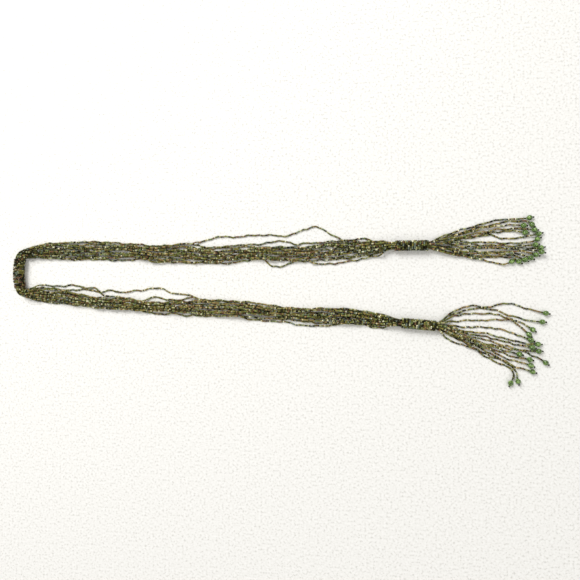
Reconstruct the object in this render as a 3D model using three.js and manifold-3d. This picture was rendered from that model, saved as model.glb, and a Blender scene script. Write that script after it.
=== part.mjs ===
// Beaded belt, folded in half and laid flat: a beaded sleeve at the fold, two halves of 15 strands,
// a beaded collar at the end of each, and a tassel of 15 strands that end in glass beads.
// Units are millimetres. x runs from the fold to the tassels, y across, and z = 0 is the surface below.
import * as THREE from "three";
import { mergeVertices } from "three/addons/utils/BufferGeometryUtils.js";
import Module from "manifold-3d";

// Strands
const strandCount = 15; // in each half and in each tassel
const strandWidth = 2.6; // flat to flat, four-sided
const strandPitch = 2.7; // nearer than this in plan, the middles of two strands lie one over the other
const strandLayer = 2.86; // and this far apart in height
const columnPitch = 2.9; // between strands side by side where they are gathered, four over one another
const rowOfPlace = [1, 0, 2, 3]; // the strands fall in turn to one of four rows, 0 the lowest
const lanePlace = [0, 1, 0.5, 1.5]; // and to the lanes of a spread half, an upper strand riding between two
const lastLane = 7;
const seamGap = 0.3; // between separate pieces

// Sleeve and collars: beaded wraps with the strands packed inside
const wrap = { halfWidth: 8.3, height: 15.2, wall: 1.6, endTaper: 0.5, sides: 24, sunk: 0.2 };
const wrapRoundness = { outer: 2.6, inner: 9, core: 4 }; // powers of the rounded oblong sections
const rootRecess = 1.5; // the packed strands stop this far inside a mouth
const sleeve = { x: 5.8, halfLength: 26, bow: 14, bendRadius: 10.5 }; // bow: degrees its ends turn in
const gatherLength = 24; // over which a half spreads out from a mouth
const liftLength = 26; // over which it comes down to the surface

// Collars: the mouth towards the fold, the length and the heading in degrees
const upperCollar = { x: 638, y: 40.5, length: 53, heading: 0 };
const lowerCollar = { x: 648, y: -79.5, length: 54, heading: -4.6 };

// The two halves. Rows: middle line y and half width of the spread strands at x.
// Loose: a strand that leaves the others for a while and the points it passes.
// Slits: gaps between strands, by place, length and opening.
const upperHalf = {
  side: 1,
  collar: upperCollar,
  rows: [
    { x: 19, y: 34.5, half: 10.5 },
    { x: 32, y: 36.5, half: 11 },
    { x: 50, y: 38.5, half: 13.5 },
    { x: 94, y: 38.5, half: 15 },
    { x: 150, y: 37.8, half: 15.5 },
    { x: 180, y: 36.3, half: 15 },
    { x: 220, y: 34.8, half: 13.5 },
    { x: 250, y: 31.5, half: 14.5 },
    { x: 307, y: 32.5, half: 16.5 },
    { x: 343, y: 29.5, half: 14.5 },
    { x: 370, y: 29.5, half: 15 },
    { x: 408, y: 32.5, half: 13.5 },
    { x: 440, y: 31.5, half: 13.5 },
    { x: 490, y: 31, half: 15 },
    { x: 538, y: 34.7, half: 16 },
    { x: 570, y: 36.8, half: 15 },
    { x: 586, y: 37.5, half: 13.2 },
    { x: 612, y: 38.7, half: 11 },
    { x: 638, y: 40.5, half: 9 },
  ],
  loose: [
    { strand: 0, points: [[95, 51], [113, 53], [160, 52.5], [190, 49.5], [205, 48]] },
    {
      strand: 2,
      points: [[300, 47], [312, 48.3], [330, 51.5], [344, 56.2], [356, 58.8], [383, 58.2], [410, 60.2],
        [426, 60.8], [446, 60.2], [460, 58.6], [475, 60.4], [489, 65.4], [504, 70.8], [516, 73.2],
        [528, 67.2], [544, 58.2], [553, 54.8], [565, 49]],
    },
    { strand: 0, points: [[418, 45], [431, 46.9], [439, 49.2], [460, 50.3], [475, 48], [488, 45]] },
    { strand: 13, points: [[418, 24], [433, 20], [444, 11], [459, 9], [474, 15], [490, 20]] },
    {
      strand: 14,
      points: [[498, 19], [511, 15.4], [523, 13], [539, 13.4], [555, 15], [578, 18.7], [602, 23.4],
        [617, 26.4], [633, 31]],
    },
    { strand: 12, points: [[498, 24], [520, 23.2], [539, 22.9], [570, 25], [586, 28.4], [612, 32], [630, 35]] },
    { strand: 0, points: [[570, 49], [586, 52.5], [597, 53.3], [608, 49]] },
  ],
  slits: [
    { x: 77, y: 44.3, length: 22, opening: 3 },
    { x: 100, y: 26.3, length: 26, opening: 3 },
    { x: 184, y: 36.5, length: 60, opening: 4 },
    { x: 172, y: 29, length: 36, opening: 3 },
    { x: 198, y: 24.7, length: 36, opening: 3 },
    { x: 248, y: 20.8, length: 26, opening: 3 },
    { x: 296, y: 41, length: 34, opening: 3 },
    { x: 312, y: 19.2, length: 36, opening: 3 },
    { x: 331, y: 44.6, length: 48, opening: 3.5 },
    { x: 360, y: 38.4, length: 30, opening: 3 },
    { x: 405, y: 39.5, length: 34, opening: 3 },
    { x: 500, y: 40.5, length: 44, opening: 3 },
    { x: 537, y: 38.8, length: 40, opening: 3.5 },
    { x: 572, y: 48.3, length: 26, opening: 3 },
  ],
};
const lowerHalf = {
  side: -1,
  collar: lowerCollar,
  rows: [
    { x: 19, y: -35, half: 9 },
    { x: 32, y: -34.8, half: 11.5 },
    { x: 55, y: -37.4, half: 13.2 },
    { x: 75, y: -38.4, half: 13.5 },
    { x: 94, y: -40.5, half: 13 },
    { x: 115, y: -44, half: 11.6 },
    { x: 130, y: -46.6, half: 11 },
    { x: 153, y: -48.4, half: 11 },
    { x: 205, y: -51.8, half: 11.6 },
    { x: 240, y: -54.8, half: 11.2 },
    { x: 283, y: -56.4, half: 11.2 },
    { x: 322, y: -57.4, half: 13.8 },
    { x: 343, y: -57.8, half: 14.4 },
    { x: 376, y: -59.2, half: 13.4 },
    { x: 410, y: -61.4, half: 13 },
    { x: 442, y: -64.6, half: 12 },
    { x: 475, y: -66.8, half: 11.2 },
    { x: 508, y: -69, half: 11.8 },
    { x: 545, y: -69.4, half: 13 },
    { x: 586, y: -72.2, half: 11.8 },
    { x: 609, y: -75, half: 11 },
    { x: 625, y: -76.6, half: 10 },
    { x: 648, y: -79.5, half: 8.5 },
  ],
  loose: [
    {
      strand: 14,
      points: [[27, -22], [44, -19.3], [65, -21.8], [82, -21.8], [97, -20.2], [112, -22], [123, -24.2],
        [142, -26], [154, -32.5], [164, -37.5]],
    },
    {
      strand: 13,
      points: [[86, -30], [96, -28.4], [110, -28.1], [123, -27], [138, -30.2], [147, -31.8], [156, -30.8],
        [169, -29.3], [187, -32.4], [205, -30.5], [224, -29], [240, -25.8], [261, -26.8], [274, -32.4],
        [285, -35.6], [293, -35.2], [309, -37.5], [321, -42], [334, -46]],
    },
    {
      strand: 12,
      points: [[226, -42], [240, -40.1], [261, -42.6], [283, -45.8], [297, -43.3], [312, -41], [322, -42],
        [336, -47]],
    },
    {
      strand: 0,
      points: [[224, -63], [240, -66.8], [255, -69.2], [274, -67.7], [284, -67.8], [293, -70.3],
        [305, -71.4], [322, -70.4]],
    },
    {
      strand: 1,
      points: [[385, -70], [401, -74], [410, -77], [442, -78.8], [459, -80], [475, -81.4], [489, -84.6],
        [502, -86.2], [531, -85.3], [545, -85.3], [562, -83]],
    },
    { strand: 0, points: [[588, -84], [601, -87.3], [622, -87.6], [634, -86]] },
  ],
  slits: [
    { x: 70, y: -30, length: 36, opening: 2.2 },
    { x: 104, y: -46, length: 36, opening: 2 },
    { x: 196, y: -45, length: 44, opening: 2 },
    { x: 330, y: -62, length: 50, opening: 2.2 },
    { x: 392, y: -54, length: 40, opening: 2 },
    { x: 520, y: -63, length: 50, opening: 2.4 },
    { x: 560, y: -76, length: 40, opening: 2 },
  ],
};

// The slow wander of each strand off its lane: height and length of its two waves, and how far one
// strand's wave lies behind the next one's. Top strands ride loose and wander further.
const wander = [
  { height: 0.8, top: 1.9, length: 214, lag: 1.9 },
  { height: 0.45, top: 0.8, length: 97, lag: 2.7 },
];
const wanderEase = 90; // from each end, over which the wander grows
const joinLength = 16; // over which a loose strand leaves the others and comes back

// Tassels. Strands fan out of the collar in the order of their places across it, y high first. Each
// passes the points of via and arrives at the middle of its bead at an angle, in degrees. A bead with
// a level lies on others.
const fan = 2.3; // degrees of spread from each strand to the next
const upperTassel = {
  collar: upperCollar,
  strands: [
    { via: [[712, 55], [760, 70], [790, 77.5], [804, 80], [815.5, 78.8], [825, 79.4]],
      bead: [839.3, 81], arrive: 8 },
    { via: [[722, 55], [770, 68], [806, 75.5], [824, 76.4], [833, 76.2]], bead: [842.5, 70.7], arrive: -40 },
    { via: [[724, 53], [775, 66.5], [806, 70.6]], bead: [830.6, 69.4], arrive: -4 },
    { via: [[738, 53], [790, 63.5], [818, 64.9], [833, 64.1]], bead: [846.1, 62.7], arrive: -6 },
    { via: [[730, 49], [775, 58], [812, 61.6]], bead: [832.8, 58.6], arrive: -8 },
    { via: [[745, 50.6], [780, 55.5], [800, 50.8], [818, 50.4], [829, 50.8], [838, 54]],
      bead: [852.5, 56.4], arrive: 14 },
    { via: [[740, 45.5], [790, 44], [820, 42.6], [837, 44]], bead: [850.4, 48.1], arrive: 25 },
    { via: [[740, 42], [800, 39.5]], bead: [847.5, 39.8], arrive: 6 },
    { via: [[745, 38.5], [795, 34.5], [828, 34.8]], bead: [855.5, 35.3], arrive: 10 },
    { via: [[745, 35], [790, 37], [818, 33.4]], bead: [854.3, 28.6], arrive: -14, level: 4.4 },
    { via: [[742, 32], [790, 29.5], [820, 30.3]], bead: [848.3, 24.8], arrive: -20 },
    { via: [[735, 30], [780, 27], [800, 27.2], [818, 27.5]], bead: [840.8, 20], arrive: -24 },
    { via: [[738, 27.5], [785, 23.5], [812, 24.9]], bead: [832.5, 17.1], arrive: -24 },
    { via: [[735, 26], [775, 21.5], [806, 22.2], [815, 20.9]], bead: [823.8, 14.7], arrive: -36 },
    { via: [[732, 25], [761, 20], [783, 14.5], [800, 10.8]], bead: [813.4, 14.8], arrive: 24 },
  ],
};
const lowerTassel = {
  collar: lowerCollar,
  strands: [
    { via: [[724, -64], [758, -51.5], [769, -55.5], [798, -50.5], [815, -49.5], [836, -57]],
      bead: [862.5, -63.5], arrive: -12 },
    { via: [[720, -69], [739, -62], [768, -56.5], [793, -60.5], [820, -70]],
      bead: [857.3, -76.7], arrive: -4 },
    { via: [[731, -68], [783, -65], [817, -74]], bead: [843.6, -88.5], arrive: -36 },
    { via: [[739, -76], [790, -74.5], [812, -74], [823, -82]], bead: [838.4, -95.8], arrive: -44 },
    { via: [[753, -86], [776, -85.5], [806, -91]], bead: [841, -104.2], arrive: -22 },
    { via: [[745, -91.5], [780, -96], [815, -105.5], [836, -109.9]], bead: [851.3, -110.4], arrive: -4 },
    { via: [[742, -94], [780, -101], [812, -109.5]], bead: [843, -115.6], arrive: -12 },
    { via: [[742, -97], [780, -106], [815, -116.5], [831, -119.8]], bead: [852.5, -121], arrive: 0 },
    { via: [[738, -98], [770, -109.5], [800, -119.5]], bead: [824.6, -126.1], arrive: -14 },
    { via: [[738, -99], [780, -111.5], [815, -118.8], [826, -120], [836, -124]],
      bead: [862.2, -138.2], arrive: -38 },
    { via: [[738, -100.5], [780, -116], [812, -129], [828, -132]], bead: [839.2, -133.8], arrive: -14 },
    { via: [[738, -102], [780, -119.5], [812, -135]], bead: [841.2, -143], arrive: -22 },
    { via: [[738, -104], [780, -124], [815, -143]], bead: [843.6, -152.3], arrive: -18 },
    { via: [[736, -105], [775, -126], [803, -138], [819, -150]], bead: [822.6, -167.3], arrive: -75 },
    { via: [[718, -103], [733, -111], [753, -116.2], [788, -137.5], [811, -147], [816, -157]],
      bead: [811.9, -170.2], arrive: -113 },
  ],
};

// End beads: ovals, turned from half lengths and the distance of the facets from the hole
const bead = {
  sides: 8,
  facet: 3.75,
  profile: [
    { along: -4.6, out: 0.42 },
    { along: -3.3, out: 0.8 },
    { along: -1.25, out: 1 },
    { along: 1.25, out: 1 },
    { along: 3.3, out: 0.76 },
    { along: 4.6, out: 0.38 },
  ],
};

// Steps along the strands
const foldSteps = [-3.5, 0, 4.6, 9.2, 13.8, 24, 40]; // from the sleeve's mouth
const endSteps = [40, 20, 0, -3.5]; // to the collar's mouth
const halfStep = 30;
const tasselSteps = [-3.5, 0, 8, 18]; // from a collar
const tasselStep = 12;
const lastStep = 4; // before a bead
const riseLength = 15; // over which a tassel strand rises from the surface to its bead's hole

const degrees = Math.PI / 180;
const floorHeight = strandWidth / 2;
const mouthLift = wrap.wall + seamGap;

// A smooth step from 0 to 1.
function ease(t) {
  const u = THREE.MathUtils.clamp(t, 0, 1);
  return u * u * (3 - 2 * u);
}

// The value at x of a smooth curve through the points (xs, ys), held level past its ends.
function curveAt(xs, ys, x) {
  const last = xs.length - 1;
  if (x <= xs[0]) return ys[0];
  if (x >= xs[last]) return ys[last];
  const i = xs.findIndex((value) => value > x) - 1;
  const slope = (k) => {
    const a = Math.max(k - 1, 0);
    const b = Math.min(k + 1, last);
    return (ys[b] - ys[a]) / (xs[b] - xs[a]);
  };
  const width = xs[i + 1] - xs[i];
  const t = (x - xs[i]) / width;
  const rise = ys[i] + (ys[i + 1] - ys[i]) * ease(t);
  return rise + width * t * (1 - t) * (slope(i) * (1 - t) - slope(i + 1) * t);
}

// Points of a smooth path in the plane through the given points, with its end headings in degrees,
// at the wanted distances along its chords.
function pathPoints(points, leave, arrive, distances) {
  const chords = points.slice(1).map((p, i) => p.distanceTo(points[i]));
  const marks = chords.reduce((list, c) => [...list, list.at(-1) + c], [0]);
  const last = points.length - 1;
  const tangent = (k) => {
    if (k === 0) return new THREE.Vector2(Math.cos(leave * degrees), Math.sin(leave * degrees));
    if (k === last) return new THREE.Vector2(Math.cos(arrive * degrees), Math.sin(arrive * degrees));
    return points[k + 1].clone().sub(points[k - 1]).divideScalar(marks[k + 1] - marks[k - 1]);
  };
  return distances.map((d) => {
    const at = THREE.MathUtils.clamp(d, 0, marks[last]);
    const i = Math.min(Math.max(marks.findIndex((mark) => mark >= at) - 1, 0), last - 1);
    const t = (at - marks[i]) / chords[i];
    const point = points[i].clone().lerp(points[i + 1], ease(t));
    const bend = tangent(i)
      .multiplyScalar(1 - t)
      .addScaledVector(tangent(i + 1), -t);
    point.addScaledVector(bend, chords[i] * t * (1 - t));
    return point.addScaledVector(tangent(i), d - at); // straight on, before the start
  });
}

// Where a strand sits across a mouth, and its row there.
const rowCount = rowOfPlace.length;
const columnCount = Math.ceil(strandCount / rowCount);
const columnOf = (i) => columnPitch * ((columnCount - 1) / 2 - Math.floor(i / rowCount));
const rowOf = (i) => rowOfPlace[i % rowCount];

// The distance in plan between the lines a-b and c-d.
function planDistance(a, b, c, d) {
  const toLine = (p, q, r) => {
    const t = ((p.x - q.x) * (r.x - q.x) + (p.y - q.y) * (r.y - q.y)) / ((r.x - q.x) ** 2 + (r.y - q.y) ** 2);
    const u = THREE.MathUtils.clamp(t, 0, 1);
    return Math.hypot(p.x - q.x - u * (r.x - q.x), p.y - q.y - u * (r.y - q.y));
  };
  const side = (p, q, r) => Math.sign((q.x - p.x) * (r.y - p.y) - (q.y - p.y) * (r.x - p.x));
  if (side(a, b, c) !== side(a, b, d) && side(c, d, a) !== side(c, d, b)) return 0;
  return Math.min(toLine(a, c, d), toLine(b, c, d), toLine(c, a, b), toLine(d, a, b));
}

// The height of a strand at its point nearest to p in plan.
function heightNear(strand, p) {
  let best = { away: Infinity, z: 0 };
  for (let b = 0; b < strand.length - 1; b++) {
    const [c, d] = [strand[b], strand[b + 1]];
    const t = ((p.x - c.x) * (d.x - c.x) + (p.y - c.y) * (d.y - c.y)) / ((d.x - c.x) ** 2 + (d.y - c.y) ** 2);
    const q = c.clone().lerp(d, THREE.MathUtils.clamp(t, 0, 1));
    const away = Math.hypot(p.x - q.x, p.y - q.y);
    if (away < best.away) best = { away, z: q.z };
  }
  return best.z;
}

// Lays the strands down in turn, low row first: each comes to rest on those that it crosses or
// that lie closer than a strand's width. A strand starts with the heights that it must have.
function settle(strands) {
  const order = strands.map((_, i) => i).sort((a, b) => rowOf(a) - rowOf(b) || a - b);
  const nearPower = 24; // a four-sided strand drops off its neighbour's shoulder at once
  order.forEach((k, turn) => {
    const strand = strands[k];
    const needed = strand.map((p) => p.z);
    for (let a = 0; a < strand.length - 1; a++)
      for (const i of order.slice(0, turn)) {
        const below = strands[i];
        const distances = below.slice(1).map((d, b) => planDistance(strand[a], strand[a + 1], below[b], d));
        const apart = Math.min(...distances);
        if (apart >= strandPitch) continue;
        const step = strandLayer * (1 - (apart / strandPitch) ** nearPower) ** (1 / nearPower);
        for (const j of [a, a + 1]) needed[j] = Math.max(needed[j], heightNear(below, strand[j]) + step);
      }
    strand.forEach((p, j) => (p.z = needed[j]));
  });
  return strands;
}

// The y of strand i of a half at x, in its lane.
function laneAt(half, i, x) {
  const { rows, side } = half;
  const xs = rows.map((row) => row.x);
  const middle = curveAt(xs, rows.map((row) => row.y), x);
  const spread = curveAt(xs, rows.map((row) => row.half), x) - strandWidth / 2;
  const rank = 2 * Math.floor(i / rowCount) + lanePlace[i % rowCount];
  const isTop = rowOf(i) > 1;
  let lane = spread * (1 - (2 * rank) / lastLane);
  const loosened = ease(x / wanderEase) * ease((half.collar.x - x) / wanderEase);
  for (const { height, top, length, lag } of wander)
    lane += loosened * (isTop ? top : height) * Math.sin((2 * Math.PI * x) / length + lag * i + side);
  let y = middle + side * lane;
  for (const slit of half.slits) {
    const reach = Math.max(0, 1 - ((2 * (x - slit.x)) / slit.length) ** 2) ** 2;
    const away = y - slit.y;
    y += (slit.opening / 2) * reach * Math.tanh(2 * away) * Math.exp(-Math.abs(away) / 6);
  }
  for (const { strand, points } of half.loose) {
    if (strand !== i) continue;
    const loose = points.map((p) => p[0]);
    const share = ease((x - loose[0]) / joinLength) * ease((loose.at(-1) - x) / joinLength);
    y += share * (curveAt(loose, points.map((p) => p[1]), x) - y);
  }
  return y;
}

// The middle line of the sleeve, an arc: the point at a distance from its middle, and the way on.
function sleeveAt(distance) {
  const radius = sleeve.halfLength / (sleeve.bow * degrees);
  const turn = distance / radius;
  const along = new THREE.Vector2(Math.sin(turn), Math.cos(turn));
  const point = new THREE.Vector2(sleeve.x + radius * (1 - Math.cos(turn)), radius * Math.sin(turn));
  return { point, along };
}

// The strands of a half, from the sleeve round the bend and along to the collar.
function halfStrands(half) {
  const { side, collar } = half;
  const { bendRadius, halfLength } = sleeve;
  const { point: mouth, along } = sleeveAt(halfLength);
  const bow = sleeve.bow * degrees;
  const bendLength = (Math.PI / 2 - bow) * bendRadius;
  const bendEnd = {
    x: mouth.x + bendRadius * Math.cos(bow),
    y: mouth.y + bendRadius * (1 - Math.sin(bow)),
  };
  const total = collar.x - bendEnd.x + bendLength;
  const from = foldSteps.at(-1);
  const to = total - endSteps[0];
  const count = Math.ceil((to - from) / halfStep);
  const between = Array.from({ length: count - 1 }, (_, j) => from + ((j + 1) * (to - from)) / count);
  const stations = [...foldSteps, ...between, ...endSteps.map((s) => total - s)];
  const slope = Math.tan(collar.heading * degrees);
  const strands = Array.from({ length: strandCount }, (_, i) =>
    stations.map((s) => {
      const x = bendEnd.x + s - bendLength;
      const turn = THREE.MathUtils.clamp(bow + s / bendRadius, bow, Math.PI / 2);
      const lane = side * laneAt(half, i, Math.max(x, 0)) - bendEnd.y;
      const across = THREE.MathUtils.lerp(columnOf(i), lane, ease(s / gatherLength));
      // the point on the middle line, then out from it across the half
      const [before, after] = [Math.min(s, 0), Math.max(s - bendLength, 0)];
      const px = bendEnd.x - bendRadius * Math.cos(turn) + before * along.x + after - across * Math.cos(turn);
      const py = bendEnd.y - bendRadius * (1 - Math.sin(turn)) + before * along.y + across * Math.sin(turn);
      const mouthY = collar.y + slope * (px - collar.x) + side * columnOf(i);
      const near = ease((collar.x - px) / gatherLength);
      const y = THREE.MathUtils.lerp(mouthY, side * py, near);
      const lift = Math.max(1 - ease(s / liftLength), 1 - ease((total - s) / liftLength));
      return new THREE.Vector3(px, y, floorHeight + mouthLift * lift);
    }),
  );
  return settle(strands);
}

// The strands of a tassel, from the collar to the holes of the end beads.
function tasselStrands({ collar, strands }) {
  const end = collarLine(collar)(collar.length);
  const across = new THREE.Vector2(-end.along.y, end.along.x);
  const beadReach = bead.profile.at(-1).along + seamGap;
  return settle(
    strands.map(({ via, bead: [x, y], arrive, level = 0 }, i) => {
      const leave = collar.heading + fan * ((strandCount - 1) / 2 - i);
      const start = end.point.clone().addScaledVector(across, columnOf(i));
      const heading = new THREE.Vector2(Math.cos(arrive * degrees), Math.sin(arrive * degrees));
      const tip = new THREE.Vector2(x, y).addScaledVector(heading, -beadReach);
      const points = [start, ...via.map((p) => new THREE.Vector2(...p)), tip];
      const length = points.slice(1).reduce((sum, p, k) => sum + p.distanceTo(points[k]), 0);
      const onward = length - lastStep - tasselSteps.at(-1);
      const count = Math.ceil(onward / tasselStep);
      const between = Array.from({ length: count }, (_, j) => ((j + 1) * onward) / count + tasselSteps.at(-1));
      const distances = [...tasselSteps, ...between, length];
      return pathPoints(points, leave, arrive, distances).map((p, j) => {
        if (j === 0) p.copy(start).addScaledVector(end.along, distances[0]);
        const lift = mouthLift * (1 - ease(distances[j] / liftLength));
        const rise = (bead.facet + level - floorHeight) * (1 - ease((length - distances[j]) / riseLength));
        return new THREE.Vector3(p.x, p.y, floorHeight + Math.max(lift, rise));
      });
    }),
  );
}

// A closed skin over rings of points that all have the same number of corners. A loop joins the
// last ring to the first, and otherwise both ends are closed flat.
function skin(rings, loop = false) {
  const sides = rings[0].length;
  const index = [];
  const bands = loop ? rings.length : rings.length - 1;
  for (let r = 0; r < bands; r++)
    for (let k = 0; k < sides; k++) {
      const [a, b] = [r * sides + k, r * sides + ((k + 1) % sides)];
      const next = ((r + 1) % rings.length) * sides;
      const [c, d] = [next + k, next + ((k + 1) % sides)];
      index.push(a, d, b, a, c, d);
    }
  if (!loop)
    for (let k = 1; k < sides - 1; k++) {
      const last = (rings.length - 1) * sides;
      index.push(0, k, k + 1, last, last + k + 1, last + k);
    }
  return new THREE.BufferGeometry()
    .setAttribute("position", new THREE.Float32BufferAttribute(rings.flat().flatMap((p) => p.toArray()), 3))
    .setIndex(index);
}

// A four-sided strand along points, its underside level.
function strandSkin(points) {
  const reach = strandWidth / 2;
  const corners = [[1, -1], [1, 1], [-1, 1], [-1, -1]];
  return skin(
    points.map((p, j) => {
      const before = points[Math.max(j - 1, 0)];
      const after = points[Math.min(j + 1, points.length - 1)];
      const along = new THREE.Vector2(after.x - before.x, after.y - before.y).normalize();
      return corners.map(([a, up]) =>
        new THREE.Vector3(p.x + a * reach * along.y, p.y - a * reach * along.x, p.z + up * reach),
      );
    }),
  );
}

// A rounded oblong section across the heading at a point, its bottom cut level at the given height.
function wrapRing(point, along, halfWidth, halfHeight, middle, bottom, power) {
  return Array.from({ length: wrap.sides }, (_, k) => {
    const turn = (2 * Math.PI * k) / wrap.sides;
    const [c, s] = [Math.cos(turn), Math.sin(turn)];
    const out = halfWidth * Math.sign(c) * Math.abs(c) ** (2 / power);
    const up = middle + halfHeight * Math.sign(s) * Math.abs(s) ** (2 / power);
    return new THREE.Vector3(point.x + out * along.y, point.y - out * along.x, Math.max(up, bottom));
  });
}

// The wall of a sleeve or collar along a line, which gives a point and the way on at a distance. The
// outer oval is sunk a little and cut level. stops are distances along the line, the ends first and last.
function wrapSkin(line, stops) {
  const { halfWidth, height, wall, endTaper, sunk } = wrap;
  const middle = height / 2;
  const outer = stops.map((d, k) => {
    const taper = k === 0 || k === stops.length - 1 ? endTaper : 0;
    const { point, along } = line(d);
    const halfHeight = middle + sunk - taper;
    return wrapRing(point, along, halfWidth - taper, halfHeight, middle - sunk, 0, wrapRoundness.outer);
  });
  const inner = stops.toReversed().map((d) => {
    const { point, along } = line(d);
    return wrapRing(point, along, halfWidth - wall, middle - wall, middle, wall, wrapRoundness.inner);
  });
  return skin([...outer, ...inner], true);
}

// The packed strands inside a sleeve or collar, through the stops along its line.
function coreSkin(line, stops) {
  const { halfWidth, height, wall } = wrap;
  const reach = halfWidth - wall - seamGap;
  const tall = height / 2 - wall - seamGap;
  return skin(
    stops.map((d) => {
      const { point, along } = line(d);
      return wrapRing(point, along, reach, tall, height / 2, 0, wrapRoundness.core);
    }),
  );
}

// The line of a collar, from its mouth.
function collarLine({ x, y, heading }) {
  const along = new THREE.Vector2(Math.cos(heading * degrees), Math.sin(heading * degrees));
  return (distance) => ({ point: new THREE.Vector2(x, y).addScaledVector(along, distance), along });
}

const manifold = await Module();
manifold.setup();

// Joins closed geometries into one.
function joined(geometries) {
  const solids = geometries.map((geometry) => {
    const merged = mergeVertices(geometry, 1e-3);
    return new manifold.Manifold(
      new manifold.Mesh({
        numProp: 3,
        vertProperties: merged.attributes.position.array,
        triVerts: new Uint32Array(merged.index.array),
      }),
    );
  });
  const mesh = solids.reduce((whole, solid) => whole.add(solid)).getMesh();
  return new THREE.BufferGeometry()
    .setAttribute("position", new THREE.BufferAttribute(mesh.vertProperties, 3))
    .setIndex(new THREE.BufferAttribute(mesh.triVerts, 1));
}

const finish = {
  strands: new THREE.MeshStandardMaterial({ color: 0x6b6a45, roughness: 0.4, metalness: 0 }),
  wraps: new THREE.MeshStandardMaterial({ color: 0x4b4c33, roughness: 0.4, metalness: 0 }),
  beads: new THREE.MeshStandardMaterial({ color: 0x5fa04e, roughness: 0.15, metalness: 0 }),
};

const belt = new THREE.Group();

function addPiece(name, geometry, material) {
  geometry.computeVertexNormals();
  const mesh = new THREE.Mesh(geometry, material);
  mesh.name = name;
  belt.add(mesh);
  return mesh;
}

// Centre sleeve
const sleeveStops = [-1, -0.85, -0.5, 0, 0.5, 0.85, 1].map((share) => share * sleeve.halfLength);
addPiece("centre_sleeve", wrapSkin(sleeveAt, sleeveStops), finish.wraps);

// Halves: strands, and their packed ends in the sleeve and in the collar
function addHalf(name, half) {
  const { halfLength } = sleeve;
  const inSleeve = [seamGap / 2, halfLength / 3, (2 * halfLength) / 3, halfLength - rootRecess];
  const sleeveStops = inSleeve.map((d) => half.side * d);
  const cores = [
    coreSkin(sleeveAt, half.side > 0 ? sleeveStops : sleeveStops.toReversed()),
    coreSkin(collarLine(half.collar), [rootRecess, half.collar.length / 2 - seamGap / 2]),
  ];
  addPiece(name, joined([...cores, ...halfStrands(half).map(strandSkin)]), finish.strands);
}
addHalf("upper_strands", upperHalf);
addHalf("lower_strands", lowerHalf);

// Collars, tassels and end beads
function addTassel(side, tassel) {
  const { collar } = tassel;
  const line = collarLine(collar);
  const collarStops = [0, 0.12, 0.5, 0.88, 1].map((share) => share * collar.length);
  addPiece(side + "_collar", wrapSkin(line, collarStops), finish.wraps);
  const head = coreSkin(line, [collar.length / 2 + seamGap / 2, collar.length - rootRecess]);
  addPiece(side + "_tassel", joined([head, ...tasselStrands(tassel).map(strandSkin)]), finish.strands);
  const radius = bead.facet / Math.cos(Math.PI / bead.sides);
  const profile = bead.profile.map((p) => new THREE.Vector2(p.out * radius, p.along));
  const ends = [new THREE.Vector2(0, bead.profile[0].along), new THREE.Vector2(0, bead.profile.at(-1).along)];
  tassel.strands.forEach(({ bead: [x, y], arrive, level = 0 }, i) => {
    const oval = new THREE.LatheGeometry([ends[0], ...profile, ends[1]], bead.sides, Math.PI / bead.sides);
    const number = String(i + 1).padStart(2, "0");
    const piece = addPiece(side + "_end_bead_" + number, oval, finish.beads);
    piece.position.set(x, y, bead.facet + level);
    piece.rotation.z = (arrive - 90) * degrees;
  });
}
addTassel("upper", upperTassel);
addTassel("lower", lowerTassel);

// The origin goes to the middle of the belt's box, on the surface it lies on.
const box = new THREE.Box3().setFromObject(belt, true);
const middle = box.getCenter(new THREE.Vector3());
belt.position.set(-middle.x, -middle.y, 0);

export default belt;
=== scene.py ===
# Beaded belt, folded in half and laid flat: strands of glass seed beads, beaded wraps at the fold and
# above the tassels, and a green glass bead at the end of each tassel strand.
import math

import bpy
import numpy as np
from mathutils import Matrix, Vector


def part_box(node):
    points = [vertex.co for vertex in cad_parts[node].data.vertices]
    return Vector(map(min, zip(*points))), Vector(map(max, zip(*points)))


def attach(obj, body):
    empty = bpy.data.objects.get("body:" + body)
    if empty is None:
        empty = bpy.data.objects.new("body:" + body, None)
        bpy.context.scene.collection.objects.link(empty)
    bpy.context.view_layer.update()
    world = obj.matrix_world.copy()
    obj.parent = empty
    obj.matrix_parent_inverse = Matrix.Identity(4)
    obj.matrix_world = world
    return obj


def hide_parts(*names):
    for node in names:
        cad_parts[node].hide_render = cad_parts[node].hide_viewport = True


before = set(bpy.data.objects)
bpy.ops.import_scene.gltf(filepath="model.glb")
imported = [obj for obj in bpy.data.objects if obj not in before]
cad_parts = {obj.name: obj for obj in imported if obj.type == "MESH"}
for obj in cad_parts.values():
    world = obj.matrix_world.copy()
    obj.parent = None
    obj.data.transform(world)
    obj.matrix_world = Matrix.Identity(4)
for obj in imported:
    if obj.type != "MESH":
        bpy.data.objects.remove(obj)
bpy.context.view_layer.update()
mm = 0.001
draw = np.random.default_rng(416)  # every random choice comes from here, in the same order each time

# ---- the wraps' sizes and the belt's place
wraps = {
    "halfWidth": 8.3,
    "height": 15.2,
    "roundness": 2.6,  # power of the rounded oblong section
    "sectionPoints": 361,  # on the section's curve, to measure along it
    "crown": 0.2,  # the top seeds stand this much over the height
    "beadRound": 2.15,  # along a round
    "roundPitch": 2.65,  # between rounds
    "radius": 1.34,  # of a seed
    "slant": 0.9,  # share of the pitch that a round moves on along the wrap
    "wobble": 0.35,  # of a round along the wrap
    "wobblePhase": 6.28,  # radians, the most that a round's wobble is turned by
    "play": 0.08,  # of a seed along the wrap
    "uneven": 0.22,  # in and out
    "swellLimit": 1.02,  # a round is at most this much wider than the section
    "sameColour": 0.35,  # chance that a seed has the colour of the one before it
    "raggedEdge": 0.02,  # of a band of colours, as a share of the wrap's length
}
sleeve = {"x": 5.8, "halfLength": 26, "bow": 14, "bendRadius": 10.5}  # bow: degrees its ends turn in

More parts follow.
